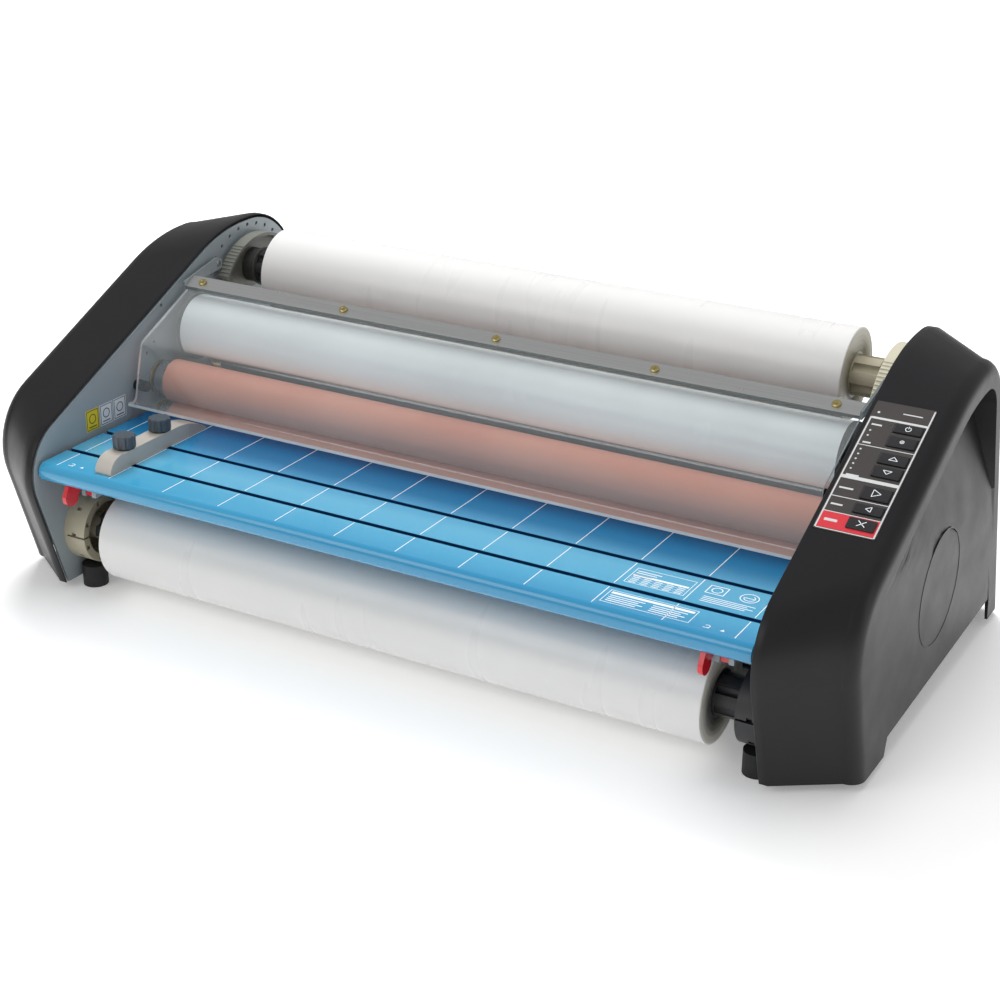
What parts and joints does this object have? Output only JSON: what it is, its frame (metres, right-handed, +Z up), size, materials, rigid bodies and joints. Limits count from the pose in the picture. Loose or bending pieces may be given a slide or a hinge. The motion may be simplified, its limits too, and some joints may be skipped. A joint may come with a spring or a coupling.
{
  "type": "thermal roll laminator",
  "caption": "Desktop roll laminator with tapered end covers, two film supply rolls, heated and pull rollers, hinged clear shield, slotted feed table with edge guide and keypad.",
  "frame": {"origin": "on the floor, midway between the two end covers and under the middle of their length", "axes": "+X along the rollers towards the keypad end, +Y to the back where the laminated sheet leaves, +Z up"},
  "size_m": [0.889, 0.4627, 0.3065],
  "materials": {
    "bar_metal": "satin anodised",
    "board": "circuit board",
    "bronze": "sintered bronze",
    "clear": "clear acrylic",
    "cover_black": "satin moulded, fine grain",
    "dark_plastic": "moulded",
    "film": "milky wound film",
    "foot_rubber": "black rubber",
    "frame_grey": "satin blue-grey paint",
    "gear_nylon": "natural nylon",
    "guide_beige": "satin",
    "hood_white": "gloss white enamel",
    "key_black": "satin key caps",
    "khaki": "moulded, satin",
    "knob_slate": "satin",
    "lamp": "ceramic ends",
    "latch_red": "gloss",
    "lever_grey": "moulded, satin",
    "motor_metal": "black motor can",
    "pan_grey": "satin paint",
    "panel_face": "printed overlay",
    "pull_rubber": "dark rubber",
    "silicone": "salmon silicone rubber",
    "steel": "turned",
    "table_blue": "printed gloss laminate",
    "zinc_yellow": "yellow zinc plate"
  },
  "bodies": {
    "chassis": {"left_cover": "cover_black", "right_cover": "cover_black", "control_panel": "panel_face", "control_board": "board", "right_side_frame": "frame_grey", "left_side_frame": "frame_grey", "rubber_feet": "foot_rubber", "cross_bars": "steel", "frame_fasteners": "steel", "roller_bushes": "bronze", "gear_motor": "motor_metal", "pressure_springs": "steel", "heater_lamps": "lamp", "heater_hood": "hood_white", "hood_ends": "dark_plastic", "base_pan": "pan_grey", "inlet_and_switch_bodies": "dark_plastic", "fan_frame": "dark_plastic", "power_board": "board", "upper_roll_holders": "dark_plastic", "lower_left_holder": "khaki", "lower_right_holder": "dark_plastic", "shield_stops": "foot_rubber"},
    "power_key": {"power_button": "key_black"},
    "heat_key": {"heat_button": "key_black"},
    "faster_key": {"faster_button": "key_black"},
    "slower_key": {"slower_button": "key_black"},
    "run_key": {"run_button": "key_black"},
    "reverse_key": {"reverse_button": "key_black"},
    "stop_key": {"stop_button": "key_black"},
    "lower_heat": {"lower_heat_roller": "steel", "lower_heat_sleeve": "silicone", "lower_heat_gear": "gear_nylon"},
    "upper_heat": {"upper_heat_roller": "steel", "upper_heat_sleeve": "silicone", "upper_heat_gear": "gear_nylon"},
    "lower_pull": {"lower_pull_roller": "pull_rubber", "lower_pull_gear": "gear_nylon"},
    "upper_pull": {"upper_pull_roller": "pull_rubber", "upper_pull_gear": "gear_nylon"},
    "idler": {"drive_idler_gear": "gear_nylon"},
    "pinion": {"motor_pinion": "steel"},
    "fan": {"fan_rotor": "dark_plastic"},
    "rocker": {"power_rocker": "dark_plastic"},
    "upper_film": {"upper_film_roll": "film", "upper_film_core": "khaki"},
    "lower_film": {"lower_film_roll": "film", "lower_film_core": "dark_plastic"},
    "left_lever": {"left_release_lever": "lever_grey"},
    "right_lever": {"right_release_lever": "khaki"},
    "table": {"feed_table": "table_blue"},
    "left_latch": {"left_table_latch": "latch_red"},
    "right_latch": {"right_table_latch": "latch_red"},
    "guide": {"edge_guide": "guide_beige", "guide_tee_nuts": "steel"},
    "front_knob": {"front_guide_knob": "knob_slate"},
    "rear_knob": {"rear_guide_knob": "knob_slate"},
    "shield": {"shield_panel": "clear", "shield_bar": "bar_metal", "shield_screws": "zinc_yellow"}
  },
  "joints": [
    {"name": "power_press", "type": "slide", "parent": "chassis", "child": "power_key", "axis": [0, 0.4164, -0.9092], "range_m": [0, 0.0012]},
    {"name": "heat_press", "type": "slide", "parent": "chassis", "child": "heat_key", "axis": [0, 0.4164, -0.9092], "range_m": [0, 0.0012]},
    {"name": "faster_press", "type": "slide", "parent": "chassis", "child": "faster_key", "axis": [0, 0.4164, -0.9092], "range_m": [0, 0.0012]},
    {"name": "slower_press", "type": "slide", "parent": "chassis", "child": "slower_key", "axis": [0, 0.4164, -0.9092], "range_m": [0, 0.0012]},
    {"name": "run_press", "type": "slide", "parent": "chassis", "child": "run_key", "axis": [0, 0.4164, -0.9092], "range_m": [0, 0.0012]},
    {"name": "reverse_press", "type": "slide", "parent": "chassis", "child": "reverse_key", "axis": [0, 0.4164, -0.9092], "range_m": [0, 0.0012]},
    {"name": "stop_press", "type": "slide", "parent": "chassis", "child": "stop_key", "axis": [0, 0.4164, -0.9092], "range_m": [0, 0.0012]},
    {"name": "lower_heat_spin", "type": "hinge", "parent": "chassis", "child": "lower_heat", "pos_m": [0, -0.0334, 0.1306], "axis": [1, 0, 0], "continuous": true},
    {"name": "upper_heat_spin", "type": "hinge", "parent": "chassis", "child": "upper_heat", "pos_m": [0, -0.0334, 0.1746], "axis": [1, 0, 0], "continuous": true},
    {"name": "lower_pull_spin", "type": "hinge", "parent": "chassis", "child": "lower_pull", "pos_m": [0, 0.0626, 0.1306], "axis": [1, 0, 0], "continuous": true},
    {"name": "upper_pull_spin", "type": "hinge", "parent": "chassis", "child": "upper_pull", "pos_m": [0, 0.0626, 0.1746], "axis": [1, 0, 0], "continuous": true},
    {"name": "idler_spin", "type": "hinge", "parent": "chassis", "child": "idler", "pos_m": [0.381, 0.0146, 0.1306], "axis": [1, 0, 0], "continuous": true},
    {"name": "pinion_spin", "type": "hinge", "parent": "chassis", "child": "pinion", "pos_m": [0.381, 0.0146, 0.0906], "axis": [1, 0, 0], "continuous": true},
    {"name": "fan_spin", "type": "hinge", "parent": "chassis", "child": "fan", "pos_m": [-0.33, 0.197, 0.062], "axis": [0, 1, 0], "continuous": true},
    {"name": "rocker_tilt", "type": "hinge", "parent": "chassis", "child": "rocker", "pos_m": [0.262, 0.2025, 0.042], "axis": [1, 0, 0], "range_deg": [0, 14]},
    {"name": "upper_film_spin", "type": "hinge", "parent": "chassis", "child": "upper_film", "pos_m": [0, 0.1177, 0.2576], "axis": [1, 0, 0], "continuous": true},
    {"name": "lower_film_spin", "type": "hinge", "parent": "chassis", "child": "lower_film", "pos_m": [0, -0.1591, 0.06], "axis": [1, 0, 0], "continuous": true},
    {"name": "left_lever_turn", "type": "hinge", "parent": "chassis", "child": "left_lever", "pos_m": [-0.357, 0.1177, 0.2576], "axis": [1, 0, 0], "range_deg": [0, 10]},
    {"name": "right_lever_turn", "type": "hinge", "parent": "chassis", "child": "right_lever", "pos_m": [0.357, 0.1177, 0.2576], "axis": [1, 0, 0], "range_deg": [0, 10]},
    {"name": "table_slide", "type": "slide", "parent": "chassis", "child": "table", "axis": [0, -1, 0], "range_m": [0, 0.06]},
    {"name": "left_latch_turn", "type": "hinge", "parent": "table", "child": "left_latch", "pos_m": [-0.328, -0.196, 0.117], "axis": [1, 0, 0], "range_deg": [0, 25]},
    {"name": "right_latch_turn", "type": "hinge", "parent": "table", "child": "right_latch", "pos_m": [0.334, -0.196, 0.117], "axis": [1, 0, 0], "range_deg": [0, 25]},
    {"name": "guide_slide", "type": "slide", "parent": "table", "child": "guide", "axis": [1, 0, 0], "range_m": [-0.05, 0.58]},
    {"name": "front_knob_turn", "type": "hinge", "parent": "guide", "child": "front_knob", "pos_m": [-0.296, -0.18, 0.165], "axis": [0, 0, 1], "range_deg": [0, 360]},
    {"name": "rear_knob_turn", "type": "hinge", "parent": "guide", "child": "rear_knob", "pos_m": [-0.296, -0.1272, 0.165], "axis": [0, 0, 1], "range_deg": [0, 360]},
    {"name": "shield_lift", "type": "hinge", "parent": "chassis", "child": "shield", "pos_m": [0, 0.062, 0.272], "axis": [-1, 0, 0], "range_deg": [0, 75]}
  ],
  "couplings": [
    {"joint": "upper_heat_spin", "follows": "lower_heat_spin", "ratio": -1},
    {"joint": "idler_spin", "follows": "lower_heat_spin", "ratio": -0.84615},
    {"joint": "pinion_spin", "follows": "lower_heat_spin", "ratio": 1.5714},
    {"joint": "lower_pull_spin", "follows": "lower_heat_spin", "ratio": 1},
    {"joint": "upper_pull_spin", "follows": "lower_heat_spin", "ratio": -1}
  ]
}
